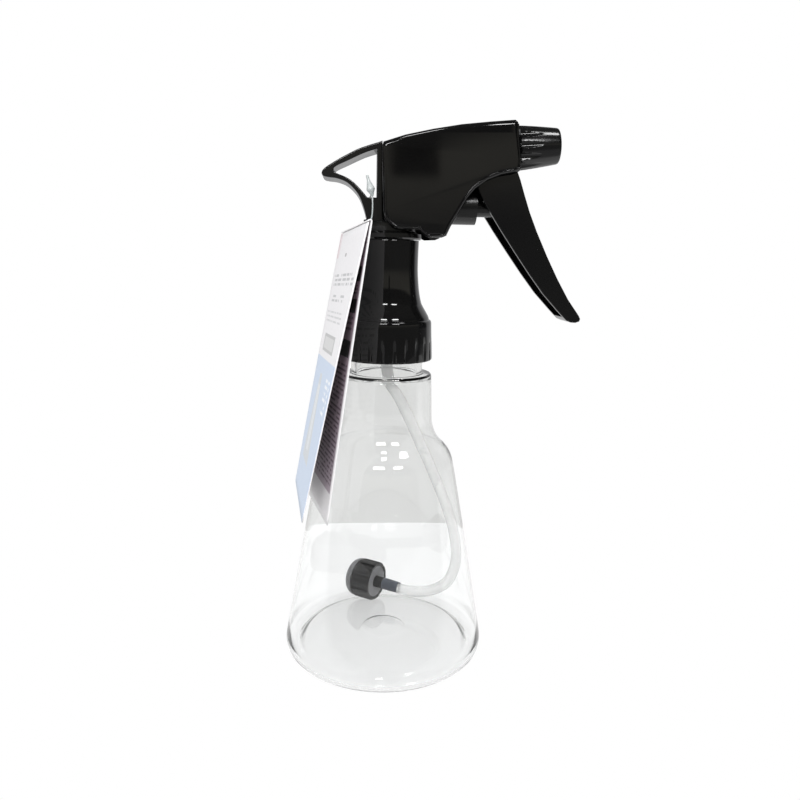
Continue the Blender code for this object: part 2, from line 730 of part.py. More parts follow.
def make_hose_and_sinker(build, hose, black, steel):
    build.tube("dip_hose", smooth_through(HOSE_ROUTE, HOSE_STEP), HOSE_R, hose, 2)
    along = Vector(SINKER_DIRECTION)
    face = Vector(SINKER_FACE)
    inner = SINKER_LENGTH
    place = {"location": face, "direction": -along}
    profile = [(SINKER_BORE_R, inner), (SINKER_R - 0.3, inner), (SINKER_R, inner - 0.3)]
    profile += [(SINKER_R, 0.5), (SINKER_R - 0.5, 0.0), (SINKER_BORE_R, 0.0)]
    sleeve = build.turned("sinker_sleeve", profile, black, 30, **place)
    turn = Vector((0, 0, 1)).rotation_difference(-along)
    grooves = []
    for i in range(SINKER_GRIPS):
        angle = 2 * math.pi * (i + 0.5) / SINKER_GRIPS
        around = Vector((math.cos(angle), math.sin(angle), 0))
        start = face + turn @ (around * 8.35 + Vector((0, 0, -1.0)))
        end = face + turn @ (around * 8.35 + Vector((0, 0, SINKER_LENGTH + 1)))
        grooves.append(build.rod("groove_%02d" % i, 1.3, start, end, None, 10))
    build.cut(sleeve, build.merged("sinker_groove_cutter", grooves))
    outer, bore = WEIGHT_R
    base = SINKER_RECESS
    top = base + WEIGHT_LENGTH
    profile = [(bore, top), (outer, top), (outer, base), (bore, base)]
    build.turned("sinker_weight", profile, steel, 24, **place)
    profile = [(0.0, 13.3), (2.2, 13.2), (4.4, 12.6), (6.0, 11.5), (6.7, inner + GAP)]
    profile += [(5.7, inner + GAP), (5.7, top + GAP), (0.0, top + GAP)]
    cap = build.turned("sinker_screen", profile, black, 24, False, **place)
    slots = []
    for i in range(6):
        angle = 2 * math.pi * i / 6
        around = Vector((math.cos(angle), math.sin(angle), 0))
        start = face + turn @ (around * 3.6 + Vector((0, 0, 10.2)))
        end = face + turn @ (around * 3.6 + Vector((0, 0, 15.0)))
        slots.append(build.rod("slot_%d" % i, 0.7, start, end, None, 8))
    build.cut(cap, build.merged("sinker_slot_cutter", slots))
    place["direction"] = along
    reach = STEM_REACH
    profile = [(0.8, reach), (HOSE_R - 0.3, reach), (HOSE_R, reach - 0.4)]
    profile += [(HOSE_R, reach - BARB_LENGTH), (STEM_R, reach - BARB_LENGTH - 0.4)]
    profile += [(STEM_R, -6.6), (0.8, -6.6)]
    build.turned("sinker_stem", profile, black, 24, **place)


def tag_point(distance, side, drop, yaw=TAG_YAW):
    """A point of the tag, this far out from the bottle's axis, along the crease and down from it."""
    out = Vector((-math.cos(TAG_YAW), -math.sin(TAG_YAW), 0.0))
    width = Vector((-math.sin(yaw), math.cos(yaw), 0.0))
    lean = math.sin(TAG_ROLL)
    height = TAG_TOP_Z - drop - side * lean
    return out * distance + width * (side - max(drop, 0.0) * lean) + Vector((0.0, 0.0, height))


def leaf(build, name, look, section, end_yaw):
    """A sheet of card: a section of (distance, drop) swept across the tag's width."""
    shape = bmesh.new()
    grid = []
    for distance, drop in section:
        t = max(drop, 0.0) / section[-1][1]
        yaw = TAG_YAW + (end_yaw - TAG_YAW) * t
        row = []
        for i in range(TAG_COLUMNS + 1):
            side = TAG_MIDDLE + TAG_HALF_WIDTH * (2.0 * i / TAG_COLUMNS - 1.0)
            row.append(shape.verts.new(tag_point(distance, side, drop, yaw) * MM))
        grid.append(row)
    for upper, lower in zip(grid, grid[1:]):
        for i in range(TAG_COLUMNS):
            shape.faces.new((upper[i], upper[i + 1], lower[i + 1], lower[i]))
    mesh = bpy.data.meshes.new(name)
    shape.to_mesh(mesh)
    shape.free()
    obj = build.add(name, mesh, look)
    solidify = obj.modifiers.new("Solidify", "SOLIDIFY")
    solidify.thickness = TAG_PAPER * MM
    solidify.offset = 0.0
    solidify.use_even_offset = True
    return obj


def leaf_section(start, first_drop, end):
    """Points of a leaf from below the crease, at this distance, to its lower edge."""
    end_drop, end_distance = end
    section = []
    for i in range(TAG_ROWS + 1):
        t = i / TAG_ROWS
        section.append((start + (end_distance - start) * t, first_drop + (end_drop - first_drop) * t))
    return section


def make_tag(build, paper):
    reach = TAG_FOLD / 2
    crease = []
    for i in range(6):
        angle = math.pi * i / 6
        crease.append((TAG_TOP_D + reach * math.cos(angle), -reach * math.sin(angle)))
    section = crease + leaf_section(TAG_TOP_D - reach, 0.0, TAG_BACK)
    back = leaf(build, "tag_back_leaf", paper, section, TAG_BACK_YAW)
    holes = []
    for side in (-TAG_HOLES_APART, TAG_HOLES_APART):
        start = tag_point(TAG_TOP_D - 2.0, side, TAG_HOLE_DROP)
        end = tag_point(TAG_TOP_D, side, TAG_HOLE_DROP)
        holes.append(build.rod("tag_hole_%d" % (side > 0), TAG_HOLE_R, start, end, None, 12))
    build.cut(back, build.merged("tag_hole_cutter", holes))
    section = leaf_section(TAG_TOP_D + reach, GAP, TAG_FRONT)
    leaf(build, "tag_front_leaf", paper, section, TAG_FRONT_YAW)


def make_tag_pin(build, clear):
    """The fastener: a moulded head, and a string from it through the tag and the hanging loop."""
    inside, outside = TAG_TOP_D + 0.05, TAG_TOP_D - 1.7
    through = []
    for distance, side in ((outside, 4.5), (outside + 0.3, 3.0), (inside - 0.5, 3.1), (inside, 2.1)):
        through.append((distance, side))
    head = Vector(TAG_PIN_HEAD)
    route = [head] + [Vector(point) for point in STRING_DOWN]
    route += [tag_point(distance, -side, TAG_HOLE_DROP) for distance, side in through]
    route += [tag_point(distance, side, TAG_HOLE_DROP) for distance, side in reversed(through)]
    route += [Vector(point) for point in STRING_UP]
    string = build.tube("tag_pin_string", smooth_through(route, 3), STRING_R, None, 1, False, True)
    pin = build.turned("tag_pin", TAG_PIN_PROFILE, clear, 16, False, location=head)
    build.join(pin, string)


def main():
    clear_scene()
    build = Builder()
    black = material("black_gloss_plastic", BLACK, 0.16)
    inner = material("white_acetal", (0.72, 0.72, 0.70), 0.4)
    clear = material("clear_plastic", (0.92, 0.94, 0.94), 0.05, 0.0, 0.35)
    hose = material("milky_hose", (0.85, 0.87, 0.86), 0.3, 0.0, 0.7)
    rubber = material("grey_rubber", (0.08, 0.08, 0.085), 0.6)
    steel = material("steel", (0.55, 0.55, 0.56), 0.3, 1.0)
    paper = material("tag_paper", (0.88, 0.88, 0.89), 0.45)
    make_bottle(build, clear)
    make_screw_cap(build, black)
    make_neck_parts(build, black, rubber)
    make_valve_body(build, black)
    make_intake(build, inner, steel)
    make_pump(build, black, rubber, steel)
    make_trigger(build, black, steel)
    make_shroud(build, black)
    make_hang_loop(build, black)
    make_nozzle(build, black, rubber)
    make_hose_and_sinker(build, hose, black, steel)
    make_tag(build, paper)
    make_tag_pin(build, clear)


main()
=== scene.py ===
"""Hand mister on a white table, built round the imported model: pieces, materials, light, camera.

Lengths are millimetres from the bottle's axis at table height, and MM turns them into metres.
The axis is the middle of the CAD bottle, +X is the way the nozzle points and +Z is up.
"""

import math

import bmesh
import bpy
from mathutils import Matrix, Vector


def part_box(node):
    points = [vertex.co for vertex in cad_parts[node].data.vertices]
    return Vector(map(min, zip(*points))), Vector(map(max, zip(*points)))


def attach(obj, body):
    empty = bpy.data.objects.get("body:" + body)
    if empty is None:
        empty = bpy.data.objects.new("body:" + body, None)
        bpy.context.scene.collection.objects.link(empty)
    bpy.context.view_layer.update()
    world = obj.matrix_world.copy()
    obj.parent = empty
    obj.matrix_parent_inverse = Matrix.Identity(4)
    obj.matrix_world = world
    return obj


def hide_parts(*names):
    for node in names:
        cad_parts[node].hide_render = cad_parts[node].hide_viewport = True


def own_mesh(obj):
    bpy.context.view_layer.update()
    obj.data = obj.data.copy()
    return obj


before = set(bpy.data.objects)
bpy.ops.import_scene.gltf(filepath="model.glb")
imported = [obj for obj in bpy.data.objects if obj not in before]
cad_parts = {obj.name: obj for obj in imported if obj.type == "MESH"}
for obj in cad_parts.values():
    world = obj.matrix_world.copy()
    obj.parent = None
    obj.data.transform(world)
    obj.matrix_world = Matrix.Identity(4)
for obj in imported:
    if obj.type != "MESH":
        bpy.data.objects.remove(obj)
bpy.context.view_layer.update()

MM = 0.001
BOTTLE_LOW, BOTTLE_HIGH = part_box("bottle")
AXIS_X = (BOTTLE_LOW.x + BOTTLE_HIGH.x) / 2

# ---- camera, from the bottle's axis
CAMERA_PLACE = (-8.75, -250.45, 147.8)
CAMERA_FORWARD = (0.0548, 0.9797, -0.1928)
CAMERA_ROLL = 0.017
CAMERA_LENS = 30.3
CAMERA_SENSOR = 36.0

TABLE_BACK_Y = 126.0
TABLE_FRONT_Y = -450.0
TABLE_HALF_X = 1200
TABLE_GLOW = 0.86
# Painted shadow and shade: the glow that rays through the bottle see is dimmed under the bottle and
# on its near side.
TABLE_SHADE = 0.76  # of the glow, left under the bottle
TABLE_NEAR_SHADE = 0.22  # of the glow, left on the near side of the bottle
TABLE_SHADE_R = (33, 48)  # where that shade starts to fade, and ends
TABLE_NEAR_SHADE_Y = (-75, -48)

MIX_SOCKETS = (0, 6, 7)  # a colour Mix node's factor and its two colours
MIX_RESULT = 2
NOISE_SPAN = (0.3, 0.7)  # where most of a noise's values lie
CARD_ROUGHNESS = 0.42


def place(x, y, z):
    """A point in the row frame, in metres."""
    return Vector((AXIS_X + x * MM, y * MM, z * MM))


# ---------------------------------------- materials


class Shader:
    """A material with one Principled BSDF, and short ways to add nodes to it."""

    def __init__(self, name, colour, roughness, **sockets):
        self.material = bpy.data.materials.new(name)
        self.material.use_nodes = True
        self.tree = self.material.node_tree
        self.main = self.tree.nodes["Principled BSDF"]
        self.main.inputs["Base Color"].default_value = (*colour, 1.0)
        self.main.inputs["Roughness"].default_value = roughness
        for socket, value in sockets.items():
            self.main.inputs[socket.replace("_", " ")].default_value = value
        self.coords = None

    def node(self, kind, **settings):
        made = self.tree.nodes.new(kind)
        for key, value in settings.items():
            setattr(made, key, value)
        return made

    def link(self, source, target):
        self.tree.links.new(source, target)

    def coordinates(self, output="Object"):
        if self.coords is None:
            self.coords = self.node("ShaderNodeTexCoord")
        return self.coords.outputs[output]

    def noise(self, scale, detail=2.0, rough=0.5, stretch=(1, 1, 1)):
        mapping = self.node("ShaderNodeMapping")
        mapping.inputs["Scale"].default_value = stretch
        self.link(self.coordinates(), mapping.inputs["Vector"])
        noise = self.node("ShaderNodeTexNoise")
        noise.inputs["Scale"].default_value = scale
        noise.inputs["Detail"].default_value = detail
        noise.inputs["Roughness"].default_value = rough
        self.link(mapping.outputs["Vector"], noise.inputs["Vector"])
        return noise.outputs["Fac"]

    def ranged(self, source, low, high, start=0.0, end=1.0):
        found = self.node("ShaderNodeMapRange")
        found.inputs["From Min"].default_value = start
        found.inputs["From Max"].default_value = end
        found.inputs["To Min"].default_value = low
        found.inputs["To Max"].default_value = high
        self.link(source, found.inputs["Value"])
        return found.outputs["Result"]

    def math(self, operation, first, second=None):
        made = self.node("ShaderNodeMath", operation=operation)
        for socket, value in zip(made.inputs, (first, second)):
            if value is None:
                continue
            if isinstance(value, (int, float)):
                socket.default_value = value
            else:
                self.link(value, socket)
        return made.outputs[0]

    def mix(self, factor, first, second):
        made = self.node("ShaderNodeMix", data_type="RGBA")
        for index, value in zip(MIX_SOCKETS, (factor, first, second)):
            socket = made.inputs[index]
            if isinstance(value, tuple):
                socket.default_value = (*value, 1.0)
            elif isinstance(value, (int, float)):
                socket.default_value = value
            else:
                self.link(value, socket)
        return made.outputs[MIX_RESULT]

    def blotched(self, source, first, second):
        """A colour that drifts from the first to the second as the noise does."""
        return self.mix(self.ranged(source, 0.0, 1.0, *NOISE_SPAN), first, second)

    def uv(self):
        """The piece's own flat coordinates: along the width, and down from the top."""
        split = self.node("ShaderNodeSeparateXYZ")
        self.link(self.coordinates("UV"), split.inputs[0])
        return split.outputs[0], split.outputs[1]

    def between(self, source, low, high):
        above = self.math("GREATER_THAN", source, low)
        return self.math("MULTIPLY", above, self.math("LESS_THAN", source, high))

    def box(self, u, v, u_range, v_range):
        return self.math("MULTIPLY", self.between(u, *u_range), self.between(v, *v_range))

    def random_cells(self, first, second, fill):
        """1 in this share of the cells that two whole numbers name."""
        vector = self.node("ShaderNodeCombineXYZ")
        self.link(first, vector.inputs[0])
        self.link(second, vector.inputs[1])
        found = self.node("ShaderNodeTexWhiteNoise", noise_dimensions="2D")
        self.link(vector.outputs[0], found.inputs["Vector"])
        return self.math("LESS_THAN", found.outputs["Value"], fill)

    def word_rows(self, u, v, u_range, v_range, rows, cells, ink=0.5, fill=0.75):
        """Rows of plain dashes: a generic stand-in for printed words."""
        v_scaled = self.ranged(v, 0.0, float(rows), *v_range)
        row = self.math("FLOOR", v_scaled)
        inked = self.math("LESS_THAN", self.math("FRACT", v_scaled), ink)
        cell = self.math("FLOOR", self.math("MULTIPLY", u, float(cells)))
        words = self.math("MULTIPLY", inked, self.random_cells(cell, row, fill))
        return self.math("MULTIPLY", words, self.box(u, v, u_range, v_range))

    def colour_from(self, source):
        self.link(source, self.main.inputs["Base Color"])

    def roughness_from(self, source, low, high):
        self.link(self.ranged(source, low, high, *NOISE_SPAN), self.main.inputs["Roughness"])

    def bump(self, source, strength, distance):
        bump = self.node("ShaderNodeBump")
        bump.inputs["Strength"].default_value = strength
        bump.inputs["Distance"].default_value = distance * MM
        self.link(source, bump.inputs["Height"])
        self.link(bump.outputs["Normal"], self.main.inputs["Normal"])


def black_plastic(name, roughness):
    """Moulded gloss plastic: a deep black, a slow waviness and faint handling haze."""
    made = Shader(name, (0.003, 0.003, 0.0032), roughness, IOR=1.5)
    haze = made.noise(90.0, 4.0, 0.6)
    made.roughness_from(haze, roughness * 0.75, roughness * 1.4)
    tone = made.noise(25.0, 3.0)
    made.colour_from(made.blotched(tone, (0.0022, 0.0022, 0.0025), (0.0042, 0.0041, 0.0039)))
    made.bump(made.noise(60.0, 1.0), 0.08, 0.02)
    return made.material


def clear_bottle_plastic():
    made = Shader("clear_pet", (0.975, 0.98, 0.98), 0.0, IOR=1.5, Transmission_Weight=1.0)
    haze = made.noise(40.0, 3.0)
    made.roughness_from(haze, 0.0, 0.03)
    made.bump(made.noise(14.0, 1.0, 0.5, (1, 1, 0.45)), 0.12, 0.3)
    return made.material


def milky_hose_plastic():
    """Soft translucent tube: milky in its thickness, with a satin skin."""
    made = Shader("milky_hose", (0.9, 0.91, 0.9), 0.35, IOR=1.4, Alpha=0.42)
    cloud = made.noise(60.0, 2.0)
    made.colour_from(made.blotched(cloud, (0.67, 0.675, 0.67), (0.62, 0.625, 0.62)))
    made.roughness_from(cloud, 0.28, 0.42)
    made.bump(made.noise(250.0, 2.0), 0.04, 0.01)
    return made.material


def metal(name, colour, roughness):
    made = Shader(name, colour, roughness, Metallic=1.0)
    grain = made.noise(400.0, 3.0, 0.6, (1, 1, 6))
    made.roughness_from(grain, roughness * 0.7, roughness * 1.4)
    made.bump(grain, 0.2, 0.01)
    return made.material


def plain_plastic(name, colour, roughness):
    made = Shader(name, colour, roughness)
    tone = made.noise(80.0, 3.0)
    darker = tuple(c * 0.86 for c in colour)
    made.colour_from(made.blotched(tone, colour, darker))
    made.roughness_from(tone, roughness * 0.8, roughness * 1.25)
    made.bump(made.noise(500.0, 2.0), 0.15, 0.01)
    return made.material


def milky_nylon():
    """The fastener's moulding: cloudy clear nylon."""
    made = Shader("milky_nylon", (0.62, 0.66, 0.66), 0.25, IOR=1.5, Transmission_Weight=0.3)
    cloud = made.noise(300.0, 2.0)
    made.colour_from(made.blotched(cloud, (0.66, 0.69, 0.69), (0.5, 0.55, 0.55)))
    made.roughness_from(cloud, 0.15, 0.35)
    return made.material


def card_face(name, paper):
    """Coated card: faint fibres in its colour, and a slight tooth."""
    made = Shader(name, paper, CARD_ROUGHNESS)
    fibre = made.noise(900.0, 3.0, 0.6)
    tint = tuple(c * 0.96 for c in paper)
    colour = made.blotched(fibre, paper, tint)
    made.roughness_from(fibre, CARD_ROUGHNESS * 0.85, CARD_ROUGHNESS * 1.15)
    made.bump(fibre, 0.12, 0.01)
    return made, colour


def front_print():
    """Generic rows of dashes, a grey box and a pale blue picture of a plain shape."""
    made, colour = card_face("tag_front_print", FRONT_PAPER)
    u, v = made.uv()
    blush = made.math("MULTIPLY", made.ranged(u, 0.5, 0.0, 0.0, 0.13), made.between(v, 0.0, 0.1))
    colour = made.mix(blush, colour, (0.62, 0.34, 0.38))
    for rows, cells, u_range, v_range, ink, fill, tone in FRONT_ROWS:
        mask = made.word_rows(u, v, u_range, v_range, rows, cells, ink, fill)
        colour = made.mix(mask, colour, tone)
    colour = made.mix(made.box(u, v, (0.2, 0.74), (0.385, 0.45)), colour, (0.5, 0.5, 0.5))
    colour = made.mix(made.box(u, v, (0.24, 0.7), (0.396, 0.439)), colour, (0.64, 0.64, 0.64))
    picture = made.math("GREATER_THAN", v, 0.475)
    colour = made.mix(picture, colour, (0.56, 0.65, 0.79))
    taper = made.ranged(v, 0.05, 0.2, 0.52, 0.86)
    offset = made.math("ABSOLUTE", made.math("SUBTRACT", u, 0.42))
    inside = made.math("LESS_THAN", offset, taper)
    shape = made.math("MULTIPLY", inside, made.between(v, 0.53, 0.86))
    colour = made.mix(shape, colour, (0.60, 0.63, 0.66))
    gleam = made.math("MULTIPLY", made.between(offset, 0.02, 0.045), made.between(v, 0.57, 0.82))
    colour = made.mix(gleam, colour, (0.82, 0.84, 0.86))
    dots = made.word_rows(u, v, (0.72, 0.92), (0.53, 0.66), 6, 26, 0.5, 0.6)
    colour = made.mix(dots, colour, (0.82, 0.85, 0.9))
    made.colour_from(colour)
    return made.material


def back_print():
    """The inside of the back leaf: a mauve ground, darker towards the fold as painted shade between
    the leaves, with black headings and rows of dashes.
    """
    made, colour = card_face("tag_back_print", PAPER)
    u, v = made.uv()
    ground = made.math("MULTIPLY", made.math("LESS_THAN", u, 0.955), made.math("LESS_THAN", v, 0.9))
    # Painted shade: the mauve ground darkens towards the fold, between the leaves.
    mauve = made.mix(made.ranged(v, 0.0, 1.0, 0.1, 0.95), (0.34, 0.25, 0.30), (0.40, 0.34, 0.39))
    colour = made.mix(ground, colour, mauve)
    rows = made.word_rows(u, v, (0.05, 0.93), (0.465, 0.885), 26, 46, 0.42, 0.8)
    colour = made.mix(rows, colour, (0.09, 0.06, 0.08))
    for v_range in ((0.2, 0.235), (0.305, 0.36)):
        rows = made.word_rows(u, v, (0.05, 0.9), v_range, 3, 40, 0.45, 0.8)
        colour = made.mix(rows, colour, (0.14, 0.09, 0.12))
    for v_range in ((0.14, 0.188), (0.246, 0.292), (0.384, 0.44)):
        colour = made.mix(made.box(u, v, (0.05, 0.93), v_range), colour, (0.01, 0.01, 0.011))
    made.colour_from(colour)
    return made.material


def plain_card(name):
    made, colour = card_face(name, PAPER)
    u, v = made.uv()
    rows = made.word_rows(u, v, (0.12, 0.88), (0.2, 0.8), 24, 40, 0.35, 0.7)
    made.colour_from(made.mix(rows, colour, (0.55, 0.55, 0.56)))
    return made.material


def sinker_grey(name, dark, light):
    """A matt colour that drifts at random from the dark colour to the light one."""
    made = Shader(name, dark, 0.5, IOR=1.5)
    tone = made.noise(180.0, 3.0)
    made.colour_from(made.blotched(tone, dark, light))
    made.roughness_from(tone, 0.4, 0.6)
    return made.material


PAPER = (0.80, 0.79, 0.80)
FRONT_PAPER = (0.82, 0.81, 0.825)
FRONT_ROWS = [  # rows, cells, range along the width, range down, ink, fill, colour
    (1, 18, (0.2, 0.8), (0.088, 0.1), 1.0, 0.3, (0.4, 0.38, 0.39)),
    (3, 34, (0.08, 0.94), (0.163, 0.213), 0.55, 0.62, (0.5, 0.5, 0.51)),
    (2, 28, (0.14, 0.72), (0.24, 0.272), 0.55, 0.55, (0.52, 0.52, 0.53)),
    (3, 60, (0.1, 0.8), (0.3, 0.35), 0.4, 0.75, (0.6, 0.6, 0.61)),
]

BLACK = black_plastic("black_gloss", 0.055)
BLACK_SATIN = black_plastic("black_satin", 0.17)
BLACK_INNER = black_plastic("black_moulded", 0.2)
CLEAR = clear_bottle_plastic()
HOSE = milky_hose_plastic()
STEEL = metal("bright_steel", (0.56, 0.57, 0.58), 0.25)
WHITE = plain_plastic("white_acetal", (0.75, 0.75, 0.73), 0.35)
RUBBER = plain_plastic("grey_rubber", (0.05, 0.05, 0.053), 0.55)
SINKER = black_plastic("sinker_black", 0.22)
WEIGHT = metal("dark_weight", (0.09, 0.09, 0.095), 0.35)
FASTENER = milky_nylon()
# The sinker's face and screen are black plastic; this grey is a painted reflection of the bright
# room.
SINKER_PAINTED_REFLECTION = sinker_grey("sinker_grey", (0.13, 0.13, 0.135), (0.2, 0.2, 0.205))
HOSE_END = sinker_grey("hose_over_stem", (0.03, 0.036, 0.048), (0.05, 0.058, 0.075))


# ---------------------------------------- shapes


def soften(obj, angle, weighted=True):
    """Smooth shading that keeps flat faces flat beside rounded edges."""
    obj.data.shade_smooth()
    obj.data.set_sharp_from_angle(angle=math.radians(angle))
    if not weighted:
        return
    weighted = obj.modifiers.new("Weighted Normal", "WEIGHTED_NORMAL")
    weighted.keep_sharp = True


def smooth_solid(obj, angle):
    """Smooth shading for a solid whose triangles come apart: joined, then split at sharp edges."""
    weld = obj.modifiers.new("Weld", "WELD")
    weld.merge_threshold = 2e-6
    split = obj.modifiers.new("Edge Split", "EDGE_SPLIT")
    split.split_angle = math.radians(angle)
    split.use_edge_sharp = False
    soften(obj, 180)


def finish_mesh(name, shape, material, body, angle, replaces, weighted=True):
    """Turns a bmesh in metres into a piece that rides on a body."""
    mesh = bpy.data.meshes.new(name)
    bmesh.ops.recalc_face_normals(shape, faces=shape.faces)
    shape.to_mesh(mesh)
    shape.free()
    mesh.materials.append(material)
    obj = bpy.data.objects.new(name, mesh)
    bpy.context.scene.collection.objects.link(obj)
    soften(obj, angle, weighted)
    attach(obj, body)
    if replaces:
        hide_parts(*replaces)
    return obj


def lathe(profile, segments=128, closed=True, turn=Matrix.Identity(4), carve=None):
    """A bmesh of (radius, height) in mm turned about Z, then moved. Open ones end on the axis.

    carve(radius, height, angle) gives the radius where the surface isn't round.
    """
    shape = bmesh.new()
    rings = []
    for r, z in profile:
        if r < 1e-6:
            rings.append([shape.verts.new(turn @ Vector((0, 0, z * MM)))])
            continue
        ring = []
        for i in range(segments):
            a = 2 * math.pi * i / segments
            reach = (carve(r, z, a) if carve else r) * MM
            at = Vector((reach * math.cos(a), reach * math.sin(a), z * MM))
            ring.append(shape.verts.new(turn @ at))
        rings.append(ring)
    pairs = list(zip(rings, rings[1:]))
    if closed:
        pairs.append((rings[-1], rings[0]))
    for upper, lower in pairs:
        for i in range(segments):
            k = (i + 1) % segments
            if len(upper) == 1 and len(lower) == 1:
                continue
            if len(upper) == 1:
                shape.faces.new((upper[0], lower[i], lower[k]))
            elif len(lower) == 1:
                shape.faces.new((upper[i], lower[0], upper[k]))
            else:
                shape.faces.new((upper[i], lower[i], lower[k], upper[k]))
    return shape


def upright():
    return Matrix.Translation(place(0, 0, 0))


def aimed(at, direction):
    """The move that takes local +Z, at the origin, to this direction at this place."""
    turn = Vector((0, 0, 1)).rotation_difference(Vector(direction))
    return Matrix.Translation(place(*at)) @ turn.to_matrix().to_4x4()


def fluted(count, phase, groove_r, groove_at, applies):
    """A carve of round grooves, cut by circles of groove_r whose middles are groove_at(z) out."""

    def carve(r, z, angle):
        if not applies(r, z):
            return r
        step = 2 * math.pi / count
        off = (angle - phase * step + step / 2) % step - step / 2
        middle = groove_at(z)
        across = middle * math.sin(off)
        if abs(across) >= groove_r:
            return r
        return min(r, middle * math.cos(off) - math.sqrt(groove_r**2 - across**2))

    return carve


def smooth_profile(points, steps=4):
    """Catmull-Rom through the points, closed ends repeated."""
    knots = [Vector(p) for p in points]
    knots = [2 * knots[0] - knots[1]] + knots + [2 * knots[-1] - knots[-2]]
    path = []
    for i in range(1, len(knots) - 2):
        a, b, c, d = knots[i - 1 : i + 3]
        for k in range(steps):
            t = k / steps
            square = (2 * a - 5 * b + 4 * c - d) * t * t
            cube = (3 * b - a - 3 * c + d) * t**3
            path.append(0.5 * (2 * b + (c - a) * t + square + cube))
    path.append(knots[-2])
    return path


def tube_along(name, points, radius, resolution, material):
    """A round tube through these points."""
    curve = bpy.data.curves.new(name, "CURVE")
    curve.dimensions = "3D"
    curve.bevel_depth = radius * MM
    curve.bevel_resolution = resolution
    curve.use_fill_caps = True
    spline = curve.splines.new("POLY")
    spline.points.add(len(points) - 1)
    for point, at in zip(spline.points, points):
        point.co = (*place(*at), 1.0)
    curve.materials.append(material)
    obj = bpy.data.objects.new(name, curve)
    bpy.context.scene.collection.objects.link(obj)
    return obj


# ---------------------------------------- the clear bottle

BOTTLE_WALL = 0.8
FINISH_R, FINISH_BORE_R, RIM_Z, SHOULDER_Z = 13.3, 11.3, 126.6, 109.2
BOTTLE_SIDE = [
    (16.8, 108.7),
    (17.0, 104.0),
    (17.2, 97.5),
    (17.4, 91.5),
    (18.0, 88.6),
    (19.0, 86.0),
    (20.6, 83.6),
    (22.6, 81.6),
    (24.3, 79.4),
    (25.4, 77.0),
    (26.1, 74.0),
    (27.0, 69.5),
    (28.6, 60.8),
    (30.8, 48.8),
    (34.5, 28.0),
    (38.4, 6.4),
]
BOTTLE_FOOT = [(38.7, 4.4), (38.5, 2.4), (37.6, 0.9), (36.2, 0.05), (34.6, 0.05), (33.6, 0.35)]
BOTTLE_FOOT += [(31.8, 1.5), (29.5, 2.7), (24.0, 3.9), (14.0, 4.4), (9.0, 4.5)]
BOTTLE_FOOT += [(7.0, 5.0), (0.0, 5.2)]


def bottle_outline():
    """The outside from the rim to the middle of the base."""
    outside = [(FINISH_BORE_R, RIM_Z), (FINISH_R - 0.3, RIM_Z), (FINISH_R, RIM_Z - 0.4)]
    outside += [(FINISH_R, SHOULDER_Z + 0.5), (FINISH_R + 0.5, SHOULDER_Z), (16.3, SHOULDER_Z)]
    outside += [tuple(p) for p in smooth_profile(BOTTLE_SIDE, 5)]
    outside += [tuple(p) for p in smooth_profile(BOTTLE_FOOT, 4)[:-1]]
    return outside + [(0.0, 5.2)]


def make_bottle():
    outside = bottle_outline()
    wall = BOTTLE_WALL
    inside = [(0.0, 5.2 + wall)]
    foot = [(r, z + wall) for r, z in BOTTLE_FOOT[::-1][1:] if r < 33]
    foot += [(35.2, 1.2), (36.8, 1.8), (37.6, 3.2)]
    inside += [tuple(p) for p in smooth_profile([(0.4, 5.2 + wall)] + foot, 4)]
    side = [(r - wall, z) for r, z in BOTTLE_SIDE[::-1]]
    inside += [tuple(p) for p in smooth_profile(side[:-1], 5)]
    inside += [(16.0, SHOULDER_Z - 2.2), (15.4, SHOULDER_Z - 1.2)]
    inside += [(FINISH_BORE_R + 0.6, SHOULDER_Z - 0.6), (FINISH_BORE_R, SHOULDER_Z + 0.4)]
    shape = lathe(outside + inside, 160, True, upright())
    piece = finish_mesh("bottle_shell", shape, CLEAR, "mister", 45, ["bottle"])
    piece.visible_shadow = False


make_bottle()

# ---------------------------------------- screw cap and nozzle cap

CAP_TOP_Z = 157.3
CAP_BELL = [
    (11.12, 156.9),
    (11.0, 153.0),
    (10.95, 149.5),
    (11.0, 146.0),
    (11.35, 141.5),
    (11.66, 139.0),
    (12.02, 137.0),
    (12.5, 135.1),
    (12.93, 134.2),
    (13.5, 133.2),
    (14.1, 132.2),
    (14.68, 131.2),
    (15.1, 130.4),
    (15.33, 129.8),
    (15.42, 129.45),
]
CAP_CREASE = [(15.42, 129.3), (15.5, 129.18), (15.72, 129.1), (15.96, 128.96), (16.16, 128.7)]
CAP_CREASE += [(16.29, 128.3), (16.36, 127.8), (16.4, 126.6)]
CAP_SKIRT = [(16.5, 123.8), (16.62, 121.4), (16.64, 121.0), (16.75, 118.0)]
CAP_SKIRT += [(16.85, 115.4), (16.8, 114.7), (16.5, 114.4)]
CAP_INSIDE = [(14.7, 114.4), (14.7, 127.4), (14.0, 128.0), (14.0, 130.1), (9.4, 130.1)]
CAP_GRIPS = 24
CAP_GRIP_TOP_Z = 121.2


def make_screw_cap():
    profile = [(9.4, CAP_TOP_Z), (11.05, CAP_TOP_Z), (11.12, CAP_TOP_Z - 0.1)]
    profile += [tuple(p) for p in smooth_profile(CAP_BELL, 5)] + CAP_CREASE + CAP_SKIRT + CAP_INSIDE

    def gripped(r, z):
        return r > 15.2 and z < CAP_GRIP_TOP_Z

    carve = fluted(CAP_GRIPS, 0.5, 0.75, lambda z: 17.1, gripped)
    shape = lathe(profile, CAP_GRIPS * 16, True, upright(), carve)
    finish_mesh("screw_cap_shell", shape, BLACK, "cap", 35, ["screw_cap"], False)


